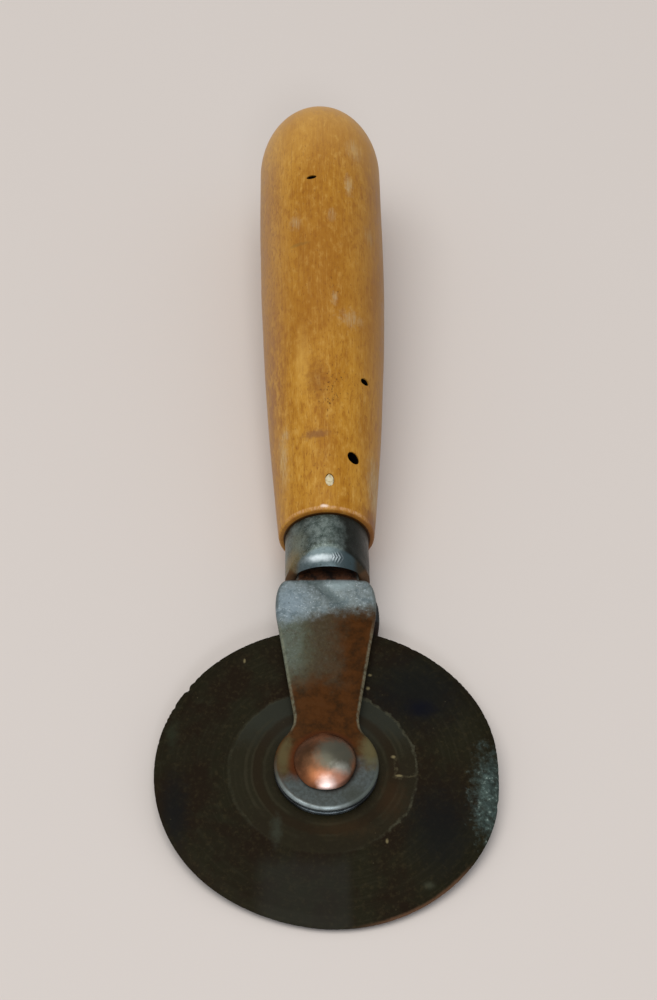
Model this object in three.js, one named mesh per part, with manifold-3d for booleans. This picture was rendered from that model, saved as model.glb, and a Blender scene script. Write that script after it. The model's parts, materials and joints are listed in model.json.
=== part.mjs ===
// A hand rotary cutter: a steel wheel that turns between two stamped sheet-steel arms on a copper rivet,
// with the arms' tangs let into a turned wooden handle behind a steel ferrule.
//
// Sizes are in millimetres. Each piece is drawn in the cutter's own axes: x across, y from the wheel's
// centre towards the butt of the handle, z out of the wheel's upper face. The last function lays the
// cutter down on its lower arm and the handle, as it lies on a table.

import * as THREE from 'three';
import { mergeVertices } from 'three/addons/utils/BufferGeometryUtils.js';
import Module from 'manifold-3d';

const wasm = await Module();
wasm.setup();

// Clearances between pieces
const restGap = 0.05; // between faces that lie against each other
const holeGap = 0.1; // around a fixed shank, tang or tenon
const runningGap = 0.06; // between the wheel and the bush that it turns on

// Wheel
const wheelRadius = 31.75;
const wheelThickness = 1.2;
const bevelWidth = 2.2;
const edgeThickness = 0.1;
const sideInner = 12; // the wheel's sides are clear of the hub outside this radius

// Hub: washers, bush and rivet
const washerRadius = 10;
const washerThickness = 0.8;
const shankRadius = 2.6;
const bushRadius = 3.8;
const headRadius = 5.7;
const headHeight = 2.6;
const headEdge = 0.3;
const tailRadius = 4.1;
const tailDepth = 1.0;
const tailHeight = 0.5;

// Fork arms, stamped from one sheet thickness
const sheet = 1.6;
const eyeRadius = 9.6;
const neckHalfWidth = 6.1;
const neckFillet = 1.8;
const shoulderHalfWidth = 9.5;
const shoulderStart = 33;
const shoulderBack = 42;
const shoulderBackHalfWidth = 7.4;
const earLean = 0.45; // how far each arm's shoulder stands off the centre line
const tangHalfWidth = 6.5;
const tangEnd = 92;
const tangTipLength = 6;
const tangTipHalfWidth = 4;
const bendStart = 42.6;
const bendEnd = 48;

// Ferrule
const ferruleRadius = 8.35;
const ferruleWall = 0.8;
const ferruleFront = 42.3;
const ferruleRoll = 2.2; // radius of the rolled front edge
const mouthHalfWidth = 6.8;
const mouthCorner = 4;
const mouthCrown = 6.5;
const mouthDepth = 1.7;

// Handle
const handleFront = 54;
const handleLength = 127;
const frontRadius = 9.55;
const bellyRadius = 13.9;
const bellyAt = 93; // from the handle's front
const domeLength = 19.5;
const frontRound = 1.3;
const tenonFront = 49.5;

// Pin through the handle and both tangs
const pinAt = 61;
const pinRadius = 0.8;
const pinTop = 9.2;
const pinBottom = -7;

// Heights worked out from those above
const washerBase = wheelThickness / 2 + restGap;
const armInner = washerBase + washerThickness + restGap;
const armOuter = armInner + sheet;
const tangInner = restGap;

const roundSegments = 48;
const fineSegments = 96;

const acrossAxes = new THREE.Matrix4().makeBasis(
  new THREE.Vector3(0, 1, 0),
  new THREE.Vector3(0, 0, 1),
  new THREE.Vector3(1, 0, 0),
);

const handleWood = new THREE.MeshStandardMaterial({ color: 0xb87a2c, roughness: 0.35, metalness: 0 });
const bareSteel = new THREE.MeshStandardMaterial({ color: 0x7d8584, roughness: 0.45, metalness: 0.9 });
const rustySteel = new THREE.MeshStandardMaterial({ color: 0x6f6458, roughness: 0.6, metalness: 0.8 });
const darkSteel = new THREE.MeshStandardMaterial({ color: 0x2e291f, roughness: 0.5, metalness: 0.7 });
const copper = new THREE.MeshStandardMaterial({ color: 0xb5714f, roughness: 0.35, metalness: 0.95 });

// --- Geometry helpers ---

function points(pairs) {
  return pairs.map(([x, y]) => new THREE.Vector2(x, y));
}

// A closed geometry as a solid that can be cut.
function solid(geometry) {
  const bare = geometry.clone();
  bare.deleteAttribute('normal');
  bare.deleteAttribute('uv');
  const merged = mergeVertices(bare, 1e-4);
  const mesh = new wasm.Mesh({
    numProp: 3,
    vertProperties: Float32Array.from(merged.attributes.position.array),
    triVerts: Uint32Array.from(merged.index.array),
  });
  return new wasm.Manifold(mesh);
}

function geometryOf(shape) {
  const cut = shape.getMesh();
  const geometry = new THREE.BufferGeometry();
  geometry.setAttribute('position', new THREE.BufferAttribute(cut.vertProperties, 3));
  geometry.setIndex(new THREE.BufferAttribute(cut.triVerts, 1));
  return geometry;
}

// A solid of revolution about the z axis, from [radius, z] pairs that climb its outside.
function turnedAboutZ(pairs, segments) {
  return new THREE.LatheGeometry(points(pairs), segments).rotateX(Math.PI / 2);
}

// A solid of revolution about the y axis, from [radius, y] pairs that climb its outside.
function turnedAboutY(pairs, segments) {
  return new THREE.LatheGeometry(points(pairs), segments);
}

// An outline in x and y, made thick from one height to another.
function plate(outline, bottom, top) {
  const options = { depth: top - bottom, bevelEnabled: false, curveSegments: 12 };
  return new THREE.ExtrudeGeometry(outline, options).translate(0, 0, bottom);
}

// A side outline in y and z, made wide across x.
function strip(outline, halfWidth) {
  const options = { depth: 2 * halfWidth, bevelEnabled: false, curveSegments: 12 };
  return new THREE.ExtrudeGeometry(outline, options).translate(0, 0, -halfWidth).applyMatrix4(acrossAxes);
}

function rod(radius, bottom, top, segments) {
  return turnedAboutZ([[0, bottom], [radius, bottom], [radius, top], [0, top]], segments);
}

function piece(name, geometry, material) {
  const mesh = new THREE.Mesh(geometry, material);
  mesh.name = name;
  return mesh;
}

// --- Wheel and hub ---

function wheelGeometry() {
  const hole = bushRadius + runningGap;
  const half = wheelThickness / 2;
  const flat = wheelRadius - bevelWidth;
  const edge = edgeThickness / 2;
  return turnedAboutZ([
    [hole, -half], [sideInner, -half], [flat, -half], [wheelRadius, -edge],
    [wheelRadius, edge], [flat, half], [sideInner, half], [hole, half], [hole, -half],
  ], fineSegments);
}

function washerGeometry(bottom) {
  const hole = bushRadius + holeGap;
  const top = bottom + washerThickness;
  const section = [[hole, bottom], [washerRadius, bottom], [washerRadius, top], [hole, top], [hole, bottom]];
  return turnedAboutZ(section, roundSegments);
}

function bushGeometry() {
  const top = armInner - restGap;
  const bore = shankRadius + holeGap;
  const section = [[bore, -top], [bushRadius, -top], [bushRadius, top], [bore, top], [bore, -top]];
  return turnedAboutZ(section, roundSegments);
}

// Domed head above the upper arm, a plain shank, and a tail peened into the lower arm's countersink.
function rivetGeometry() {
  const headBase = armOuter + restGap;
  const headSteps = 6;
  const section = [
    [0, -armOuter - tailHeight], [tailRadius / 2, -armOuter - tailHeight], [tailRadius - holeGap, -armOuter],
    [shankRadius, tailDepth - armOuter], [shankRadius, headBase], [headRadius, headBase],
  ];
  for (let step = 0; step <= headSteps; step++) {
    const turn = (step / headSteps) * (Math.PI / 2);
    const rise = headEdge + (headHeight - headEdge) * Math.sin(turn);
    section.push([step === headSteps ? 0 : headRadius * Math.cos(turn), headBase + rise]);
  }
  return turnedAboutZ(section, roundSegments);
}

// --- Fork arms ---

// One edge of an arm's plan, from the front of the eye round to the tip of the tang.
function armEdge() {
  const neckFoot = Math.sqrt(eyeRadius ** 2 - neckHalfWidth ** 2);
  const filletAngle = Math.atan2(neckFoot, neckHalfWidth) - neckFillet / eyeRadius;
  const edge = new THREE.Path();
  edge.absarc(0, 0, eyeRadius, -Math.PI / 2, filletAngle, false);
  edge.quadraticCurveTo(neckHalfWidth, neckFoot, neckHalfWidth + 0.15, neckFoot + neckFillet);
  edge.lineTo(shoulderHalfWidth, shoulderStart);
  edge.bezierCurveTo(
    shoulderHalfWidth + 0.5, shoulderStart + 4, shoulderHalfWidth + 0.1, shoulderBack,
    shoulderBackHalfWidth, shoulderBack,
  );
  edge.lineTo(tangHalfWidth, shoulderBack);
  edge.lineTo(tangHalfWidth, tangEnd - tangTipLength);
  edge.lineTo(tangTipHalfWidth, tangEnd);
  return edge.getPoints(10);
}

// Past the eye the shoulder leans sideways; the tang stays on the centre line.
function leaned(point, side, lean) {
  const onShoulder = point.y > 0 && point.y <= shoulderBack && point.x > tangHalfWidth;
  const shift = onShoulder ? lean * (point.y / shoulderBack) : 0;
  return new THREE.Vector2(side * point.x + shift, point.y);
}

function armPlan(lean) {
  const edge = armEdge();
  const right = edge.map((point) => leaned(point, 1, lean));
  const left = edge.map((point) => leaned(point, -1, lean)).reverse();
  return new THREE.Shape([...right, ...left.slice(0, -1)]);
}

// The sheet seen from the side: flat beside the wheel, then bent in to the middle for the tang.
function armSide() {
  const bendSteps = 8;
  const middle = [[-eyeRadius - 1, armInner]];
  for (let step = 0; step <= bendSteps; step++) {
    const part = step / bendSteps;
    const along = bendStart + part * (bendEnd - bendStart);
    middle.push([along, THREE.MathUtils.lerp(armInner, tangInner, THREE.MathUtils.smoothstep(part, 0, 1))]);
  }
  middle.push([tangEnd + 1, tangInner]);
  const lower = middle;
  const upper = middle.map(([along, height]) => [along, height + sheet]).reverse();
  return new THREE.Shape(points([...lower, ...upper]));
}

function armSolid(lean) {
  const stamping = solid(plate(armPlan(lean), -1, armOuter + 1)).intersect(solid(strip(armSide(), 12)));
  const rivetHole = solid(rod(shankRadius + holeGap, -1, armOuter + 1, roundSegments));
  const pinHole = solid(rod(pinRadius + holeGap, -1, armOuter + 1, 16)).translate(0, pinAt, 0);
  return stamping.subtract(rivetHole).subtract(pinHole);
}

function upperArmGeometry() {
  return geometryOf(armSolid(-earLean));
}

// The same stamping turned over, with a countersink for the rivet's tail.
function lowerArmGeometry() {
  const countersink = solid(turnedAboutZ([
    [0, armOuter - tailDepth], [shankRadius + holeGap, armOuter - tailDepth],
    [tailRadius, armOuter], [tailRadius, armOuter + 1], [0, armOuter + 1],
  ], roundSegments));
  return geometryOf(armSolid(-earLean).subtract(countersink)).rotateY(Math.PI);
}

// --- Ferrule ---

// The opening in the ferrule's front: flat sides with a crowned top and bottom.
function mouthOutline() {
  const crownRise = mouthCrown - mouthCorner;
  const crownRadius = (mouthHalfWidth ** 2 + crownRise ** 2) / (2 * crownRise);
  const crownCentre = mouthCrown - crownRadius;
  const halfAngle = Math.asin(mouthHalfWidth / crownRadius);
  const upright = Math.PI / 2;
  const mouth = new THREE.Shape();
  mouth.absarc(0, crownCentre, crownRadius, upright - halfAngle, upright + halfAngle, false);
  mouth.absarc(0, -crownCentre, crownRadius, -upright - halfAngle, -upright + halfAngle, false);
  return mouth;
}

function rolledEdge(radius, steps) {
  const centre = ferruleFront + ferruleRoll;
  const arc = [];
  for (let step = 0; step <= steps; step++) {
    const turn = (step / steps) * (Math.PI / 2);
    arc.push([ferruleRadius - ferruleRoll + radius * Math.sin(turn), centre - radius * Math.cos(turn)]);
  }
  return arc;
}

function ferruleGeometry() {
  const back = handleFront - holeGap;
  const inner = ferruleRadius - ferruleWall;
  const outside = rolledEdge(ferruleRoll, 6);
  const inside = rolledEdge(ferruleRoll - ferruleWall, 4).reverse();
  const section = [[0, ferruleFront], ...outside, [ferruleRadius, back], [inner, back], ...inside,
    [0, ferruleFront + ferruleWall]];
  const cup = solid(turnedAboutY(section, roundSegments));
  const mouth = plate(mouthOutline(), 0, mouthDepth + 1).rotateX(-Math.PI / 2);
  mouth.translate(0, ferruleFront - 1, 0);
  return geometryOf(cup.subtract(solid(mouth)));
}

// --- Handle and pin ---

// Radius of the handle at a distance behind its front: a long swell to the belly, then a domed butt.
function handleRadius(distance) {
  const domeStart = handleLength - domeLength;
  if (distance > domeStart) {
    return bellyRadius * Math.sqrt(Math.max(0, 1 - ((distance - domeStart) / domeLength) ** 2));
  }
  const short = Math.max(0, (bellyAt - distance) / bellyAt);
  return bellyRadius - (bellyRadius - frontRadius) * short ** 2;
}

// Outer profile of the handle as [radius, y] pairs, from the rounded front edge to the butt.
function handleProfile() {
  const profile = [];
  const roundSteps = 3;
  for (let step = 0; step <= roundSteps; step++) {
    const turn = (step / roundSteps) * (Math.PI / 2);
    const shoulder = handleRadius(frontRound) - frontRound;
    profile.push([shoulder + frontRound * Math.sin(turn), handleFront + frontRound * (1 - Math.cos(turn))]);
  }
  const swellSteps = 12;
  const domeStart = handleLength - domeLength;
  for (let step = 1; step <= swellSteps; step++) {
    const distance = frontRound + (step / swellSteps) * (domeStart - frontRound);
    profile.push([handleRadius(distance), handleFront + distance]);
  }
  const domeSteps = 8;
  for (let step = 1; step <= domeSteps; step++) {
    const turn = (step / domeSteps) * (Math.PI / 2);
    const distance = domeStart + domeLength * Math.sin(turn);
    profile.push([step === domeSteps ? 0 : bellyRadius * Math.cos(turn), handleFront + distance]);
  }
  return profile;
}

function handleGeometry() {
  const tenonRadius = ferruleRadius - ferruleWall - holeGap;
  const section = [[0, tenonFront], [tenonRadius, tenonFront], [tenonRadius, handleFront], ...handleProfile()];
  const blank = solid(turnedAboutY(section, roundSegments));
  const slotOutline = new THREE.Shape();
  slotOutline.moveTo(tenonFront - 1, -(tangInner + sheet + holeGap));
  slotOutline.lineTo(tangEnd + 1, -(tangInner + sheet + holeGap));
  slotOutline.lineTo(tangEnd + 1, tangInner + sheet + holeGap);
  slotOutline.lineTo(tenonFront - 1, tangInner + sheet + holeGap);
  const slot = solid(strip(slotOutline, tangHalfWidth + holeGap));
  const bore = rod(pinRadius + holeGap, pinBottom - restGap, bellyRadius, 16).translate(0, pinAt, 0);
  return geometryOf(blank.subtract(slot).subtract(solid(bore)));
}

function pinGeometry() {
  return rod(pinRadius, pinBottom, pinTop, 16).translate(0, pinAt, 0);
}

// --- Assembly ---

// The slope of a flat surface that touches the handle's underside and a point ahead of it, y and depth
// being that point's place and its distance below the wheel's middle.
function slopeUnder(y, depth) {
  const slopes = handleProfile().map(([radius, back]) => (radius - depth) / (back - y));
  return Math.max(...slopes);
}

// The cutter rests on the handle and on whichever comes first, the wheel's front edge or the lower arm's.
function restingTilt() {
  const onWheel = slopeUnder(-wheelRadius, edgeThickness / 2);
  const onArm = slopeUnder(-eyeRadius, armOuter);
  return Math.atan(Math.min(onWheel, onArm));
}

function cutter() {
  const lower = -washerBase - washerThickness;
  const group = new THREE.Group();
  group.add(
    piece('wheel', wheelGeometry(), darkSteel),
    piece('washer_upper', washerGeometry(washerBase), bareSteel),
    piece('washer_lower', washerGeometry(lower), bareSteel),
    piece('bush', bushGeometry(), bareSteel),
    piece('rivet', rivetGeometry(), copper),
    piece('fork_arm_upper', upperArmGeometry(), rustySteel),
    piece('fork_arm_lower', lowerArmGeometry(), rustySteel),
    piece('ferrule', ferruleGeometry(), bareSteel),
    piece('handle', handleGeometry(), handleWood),
    piece('tang_pin', pinGeometry(), bareSteel),
  );
  return group;
}

// Lays the cutter on the plane z = 0, with the middle of its outline over the origin.
function laidDown(tool) {
  tool.rotation.x = restingTilt();
  tool.updateMatrixWorld(true);
  const box = new THREE.Box3().setFromObject(tool, true);
  const middle = box.getCenter(new THREE.Vector3());
  tool.position.set(-middle.x, -middle.y, -box.min.z);
  const table = new THREE.Group();
  table.add(tool);
  return table;
}

export default laidDown(cutter());
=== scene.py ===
"""The looks of a hand rotary cutter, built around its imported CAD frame.

Every piece is modelled in the cutter's own axes and in millimetres: x across, y from the wheel's centre
towards the butt of the handle, z out of the wheel's upper face. TO_ROW then takes it into the frame.
"""

import json
import math

import bmesh
import bpy
from mathutils import Matrix, Vector, noise

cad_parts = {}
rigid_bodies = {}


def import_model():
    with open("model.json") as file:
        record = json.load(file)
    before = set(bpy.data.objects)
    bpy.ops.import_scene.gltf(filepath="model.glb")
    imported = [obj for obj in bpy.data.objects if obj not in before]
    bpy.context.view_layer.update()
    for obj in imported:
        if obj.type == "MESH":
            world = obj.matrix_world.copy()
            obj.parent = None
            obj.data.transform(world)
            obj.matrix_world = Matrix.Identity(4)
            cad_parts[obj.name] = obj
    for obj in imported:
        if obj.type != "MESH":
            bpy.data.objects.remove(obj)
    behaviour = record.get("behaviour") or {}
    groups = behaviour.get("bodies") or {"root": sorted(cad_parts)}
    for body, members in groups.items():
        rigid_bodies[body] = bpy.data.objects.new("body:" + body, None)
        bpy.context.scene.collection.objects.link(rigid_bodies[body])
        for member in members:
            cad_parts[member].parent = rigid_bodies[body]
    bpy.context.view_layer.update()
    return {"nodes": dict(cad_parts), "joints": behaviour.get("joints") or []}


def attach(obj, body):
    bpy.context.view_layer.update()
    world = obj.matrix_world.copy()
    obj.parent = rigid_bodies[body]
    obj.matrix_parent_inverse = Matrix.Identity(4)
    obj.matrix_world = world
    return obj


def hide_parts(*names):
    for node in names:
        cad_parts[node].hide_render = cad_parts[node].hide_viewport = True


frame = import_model()

# --- The cutter's own axes, from its one joint ---

MM = 0.001
SPIN = frame["joints"][0]
HUB = Vector(SPIN["pos_m"])
NORMAL = Vector(SPIN["axis"]).normalized()
ACROSS = Vector((1, 0, 0))
ALONG = NORMAL.cross(ACROSS)
TURN = Matrix((ACROSS, ALONG, NORMAL)).transposed()
TO_ROW = Matrix.Translation(HUB) @ TURN.to_4x4() @ Matrix.Scale(MM, 4)
TO_TOOL = TO_ROW.inverted()

FIXED_BODY = SPIN["parent"]
WHEEL_BODY = SPIN["child"]


def measured(node):
    """Lowest and highest corner of a CAD node in the cutter's axes, in millimetres."""
    places = [TO_TOOL @ vertex.co for vertex in frame["nodes"][node].data.vertices]
    low = Vector([min(place[axis] for place in places) for axis in range(3)])
    high = Vector([max(place[axis] for place in places) for axis in range(3)])
    return low, high


# --- Sizes read from the frame ---

WHEEL_HIGH = measured("wheel")[1]
WHEEL_RADIUS = WHEEL_HIGH.y
WHEEL_HALF = WHEEL_HIGH.z
BUSH_RADIUS = measured("bush")[1].y
ARM_LOW, ARM_HIGH = measured("fork_arm_upper")
ARM_TOP = ARM_HIGH.z
TANG_END = ARM_HIGH.y
EYE_RADIUS = -ARM_LOW.y
TANG_INNER = ARM_LOW.z
RIVET_LOW, RIVET_HIGH = measured("rivet")
HEAD_RADIUS = RIVET_HIGH.y
FERRULE_LOW, FERRULE_HIGH = measured("ferrule")
FERRULE_RADIUS = FERRULE_HIGH.x
FERRULE_FRONT = FERRULE_LOW.y
FERRULE_BACK = FERRULE_HIGH.y
HANDLE_LOW, HANDLE_HIGH = measured("handle")
TENON_FRONT = HANDLE_LOW.y
BUTT = HANDLE_HIGH.y
BELLY_RADIUS = HANDLE_HIGH.x
PIN_LOW, PIN_HIGH = measured("tang_pin")
PIN_AT = (PIN_LOW.y + PIN_HIGH.y) / 2

# --- Sizes that a node's box doesn't hold: the CAD's own, or within 1 mm of them ---

SHEET = 1.6
ARM_BASE = ARM_TOP - SHEET
NECK_HALF = 5.8
NECK_FILLET = 2.8
NECK_SPREAD = 0.3
SHOULDER_HALF = 9.6
SHOULDER_START = 33
SHOULDER_BACK = 42
SHOULDER_BACK_HALF = 7.2
EDGE_REACH = 1.0
EDGE_DROP = 0.72
TANG_HALF = 6.2
TANG_TIP = 6
TANG_TIP_HALF = 4
BEND_START = 42.6
BEND_END = 48
SHANK_RADIUS = 2.6
TAIL_RADIUS = 4.0
TAIL_DEPTH = 1.0
BEVEL_WIDTH = 2.2
WALL = 0.8
MOUTH_HALF = 6.3
MOUTH_CORNER = 4.0
MOUTH_CROWN = 6.5
HANDLE_FRONT = 54
HANDLE_LENGTH = BUTT - HANDLE_FRONT
FRONT_RADIUS = 9.55
BELLY_AT = 93
DOME_LENGTH = 19.5
FRONT_ROUND = 1.0
HOLE_GAP = 0.1
RUNNING_GAP = 0.06

# --- Small departures of a used, hand-assembled tool from its drawing ---

EYE_SHIFT = -0.4
EAR_LEAN = -0.45
HEAD_SHIFT = -0.65
HEAD_FULLNESS = 0.35
HEAD_STRETCH = 1.05
FACET_ROUND = 0.4
GRIP_DRIFT = 0.35
DRIFT_START = 100
DRIFT_END = 175
FILLER_AT = PIN_AT + 0.2
FILLER_ANGLE = 2.4
RIM_OVER = 0.2
# Where the rim is worn down, flats first: an angle and a width in degrees, and a depth
RIM_WEAR = (
    (-2, 15, 0.65), (-112, 24, 0.5),
    (146, 1.1, 0.45), (154.4, 0.8, 0.2), (142, 0.9, 0.15), (-13, 1.2, 0.15),
)

# --- Shading ---

SHARP_FROM = math.radians(35)
FAR = 1e6


def srgb(red, green, blue):
    """A colour from its 0 to 255 screen values, as linear light."""
    def linear(value):
        share = value / 255
        return share / 12.92 if share <= 0.04045 else ((share + 0.055) / 1.055) ** 2.4
    return (linear(red), linear(green), linear(blue), 1.0)


def smooth(value, start, end):
    """0 before start, 1 after end, with a soft ramp between."""
    part = min(1.0, max(0.0, (value - start) / (end - start)))
    return part * part * (3 - 2 * part)


def bell(value, centre, width):
    """1 at the centre, falling off evenly on both sides."""
    return math.exp(-(((value - centre) / width) ** 2))


def ripple(place, scale, amount, seed):
    """A gentle unevenness, the same on every run."""
    return amount * noise.noise(place * scale + Vector((seed, -seed, 2 * seed)))


def drift(y):
    """How far the fork's tang, the ferrule and the front of the handle stand to the right."""
    return GRIP_DRIFT * smooth(y, 0, SHOULDER_BACK) * (1 - smooth(y, DRIFT_START, DRIFT_END))


# --- Outlines ---

def arc(centre, radius, start, end, steps):
    """Points round an arc, with its angles in degrees."""
    turns = [math.radians(start + (end - start) * step / steps) for step in range(steps + 1)]
    return [(centre[0] + radius * math.cos(turn), centre[1] + radius * math.sin(turn)) for turn in turns]


def curve(controls, steps):
    """Points along a Bezier curve from its first control to its last."""
    points = []
    for step in range(steps + 1):
        level = [Vector(control) for control in controls]
        while len(level) > 1:
            level = [a.lerp(b, step / steps) for a, b in zip(level, level[1:])]
        points.append(tuple(level[0]))
    return points


def rounded(corners):
    """A closed line of (a, b, rounding) corners, each cut back by its rounding and curved."""
    steps = 4
    points = []
    for index, (a, b, rounding) in enumerate(corners):
        here = Vector((a, b))
        before = Vector(corners[index - 1][:2])
        after = Vector(corners[(index + 1) % len(corners)][:2])
        start = here + (before - here).normalized() * rounding
        end = here + (after - here).normalized() * rounding
        points += curve([start, here, end], steps)
    return points


def spread(start, end, steps):
    """Evenly spaced values after start, up to and including end."""
    return [start + (end - start) * step / steps for step in range(1, steps + 1)]


# --- Mesh helpers ---

def in_scene(name, data):
    """A new object of the scene for the data."""
    obj = bpy.data.objects.new(name, data)
    bpy.context.scene.collection.objects.link(obj)
    return obj


def piece_from(bm, name):
    """The mesh as an object in the scene, still in the cutter's millimetres."""
    mesh = bpy.data.meshes.new(name)
    bmesh.ops.recalc_face_normals(bm, faces=bm.faces)
    bm.to_mesh(mesh)
    bm.free()
    return in_scene(name, mesh)


def swept(name, sections):
    """A closed piece through a ring of closed sections, each a list of points."""
    points = [point for section in sections for point in section]
    size = len(sections[0])
    quads = []
    for index in range(len(sections)):
        here = index * size
        there = (index + 1) % len(sections) * size
        for step in range(size):
            after = (step + 1) % size
            quads.append((here + step, here + after, there + after, there + step))
    mesh = bpy.data.meshes.new(name)
    mesh.from_pydata(points, [], quads)
    bm = bmesh.new()
    bm.from_mesh(mesh)
    bpy.data.meshes.remove(mesh)
    bmesh.ops.remove_doubles(bm, verts=bm.verts, dist=1e-5)
    return piece_from(bm, name)


def turned(name, section, segments, axis="Z"):
    """A solid of revolution about Z or Y from its closed (radius, height) section."""
    sections = []
    for segment in range(segments):
        turn = 2 * math.pi * segment / segments
        if axis == "Z":
            sections.append([(r * math.cos(turn), r * math.sin(turn), height) for r, height in section])
        else:
            sections.append([(r * math.sin(turn), height, r * math.cos(turn)) for r, height in section])
    return swept(name, sections)


def stacked(name, levels):
    """A solid through outlines in x and y with as many points each, from a list of (outline, z)."""
    bm = bmesh.new()
    rings = [[bm.verts.new((x, y, z)) for x, y in outline] for outline, z in levels]
    bm.faces.new(rings[0])
    bm.faces.new(rings[-1])
    for lower, upper in zip(rings, rings[1:]):
        for index in range(len(lower)):
            after = (index + 1) % len(lower)
            bm.faces.new((lower[index], lower[after], upper[after], upper[index]))
    return piece_from(bm, name)


def inset(outline, distance):
    """The anticlockwise outline moved inwards, its corners kept."""
    moved = []
    for index, point in enumerate(outline):
        here = Vector(point)
        arriving = (here - Vector(outline[index - 1])).normalized().orthogonal()
        leaving = (Vector(outline[(index + 1) % len(outline)]) - here).normalized().orthogonal()
        moved.append(here + (arriving + leaving) * distance / (1 + arriving.dot(leaving)))
    return moved


def stamped_plate(name, outline, bottom, top, reach, drop):
    """A flat solid over an anticlockwise outline, its edges rolled over from reach inside it by drop."""
    steps = 8
    rolled = []
    for step in range(steps + 1):
        swing = math.pi / 2 * step / steps
        rolled.append((inset(outline, reach * (1 - math.sin(swing))), drop * (1 - math.cos(swing))))
    levels = [(line, bottom + rise) for line, rise in rolled]
    return stacked(name, levels + [(line, top - rise) for line, rise in reversed(rolled)])


def rod(name, radius, x, y, low, high):
    """A plain round cutter for a hole along Z."""
    obj = turned(name, [(0, low), (radius, low), (radius, high), (0, high)], 48)
    obj.data.transform(Matrix.Translation((x, y, 0)))
    return obj


def cut(obj, cutters):
    """Takes the cutters' shapes out of the object and removes them."""
    for cutter in cutters:
        modifier = obj.modifiers.new("cut", "BOOLEAN")
        modifier.operation = "DIFFERENCE"
        modifier.solver = "EXACT"
        modifier.object = cutter
    bpy.context.view_layer.update()
    mesh = bpy.data.meshes.new_from_object(obj.evaluated_get(bpy.context.evaluated_depsgraph_get()))
    obj.modifiers.clear()
    obj.data = mesh
    for cutter in cutters:
        bpy.data.objects.remove(cutter)


def slice_up(obj, axis, start, end, step):
    """Cuts the object's faces along planes across an axis, so that it can bend."""
    bm = bmesh.new()
    bm.from_mesh(obj.data)
    normal = Vector((axis == 0, axis == 1, axis == 2))
    for index in range(int((end - start) / step) + 1):
        place = normal * (start + index * step)
        everything = bm.verts[:] + bm.edges[:] + bm.faces[:]
        bmesh.ops.bisect_plane(bm, geom=everything, dist=1e-4, plane_co=place, plane_no=normal)
    bm.to_mesh(obj.data)
    bm.free()


def reshape(obj, move):
    """Moves every point of the mesh by a function of its place."""
    for vertex in obj.data.vertices:
        vertex.co = move(vertex.co.copy())


def finished(obj, body, nodes, material):
    """Takes a piece into the frame, shades it, hangs it on the body it rides on and hides the CAD nodes it
    stands for.
    """
    obj.data.transform(TO_ROW)
    obj.data.shade_smooth()
    obj.data.set_sharp_from_angle(angle=SHARP_FROM)
    obj.data.materials.clear()
    obj.data.materials.append(material)
    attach(obj, body)
    if nodes:
        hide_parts(*nodes)
    return obj


# --- Shader helpers ---

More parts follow.
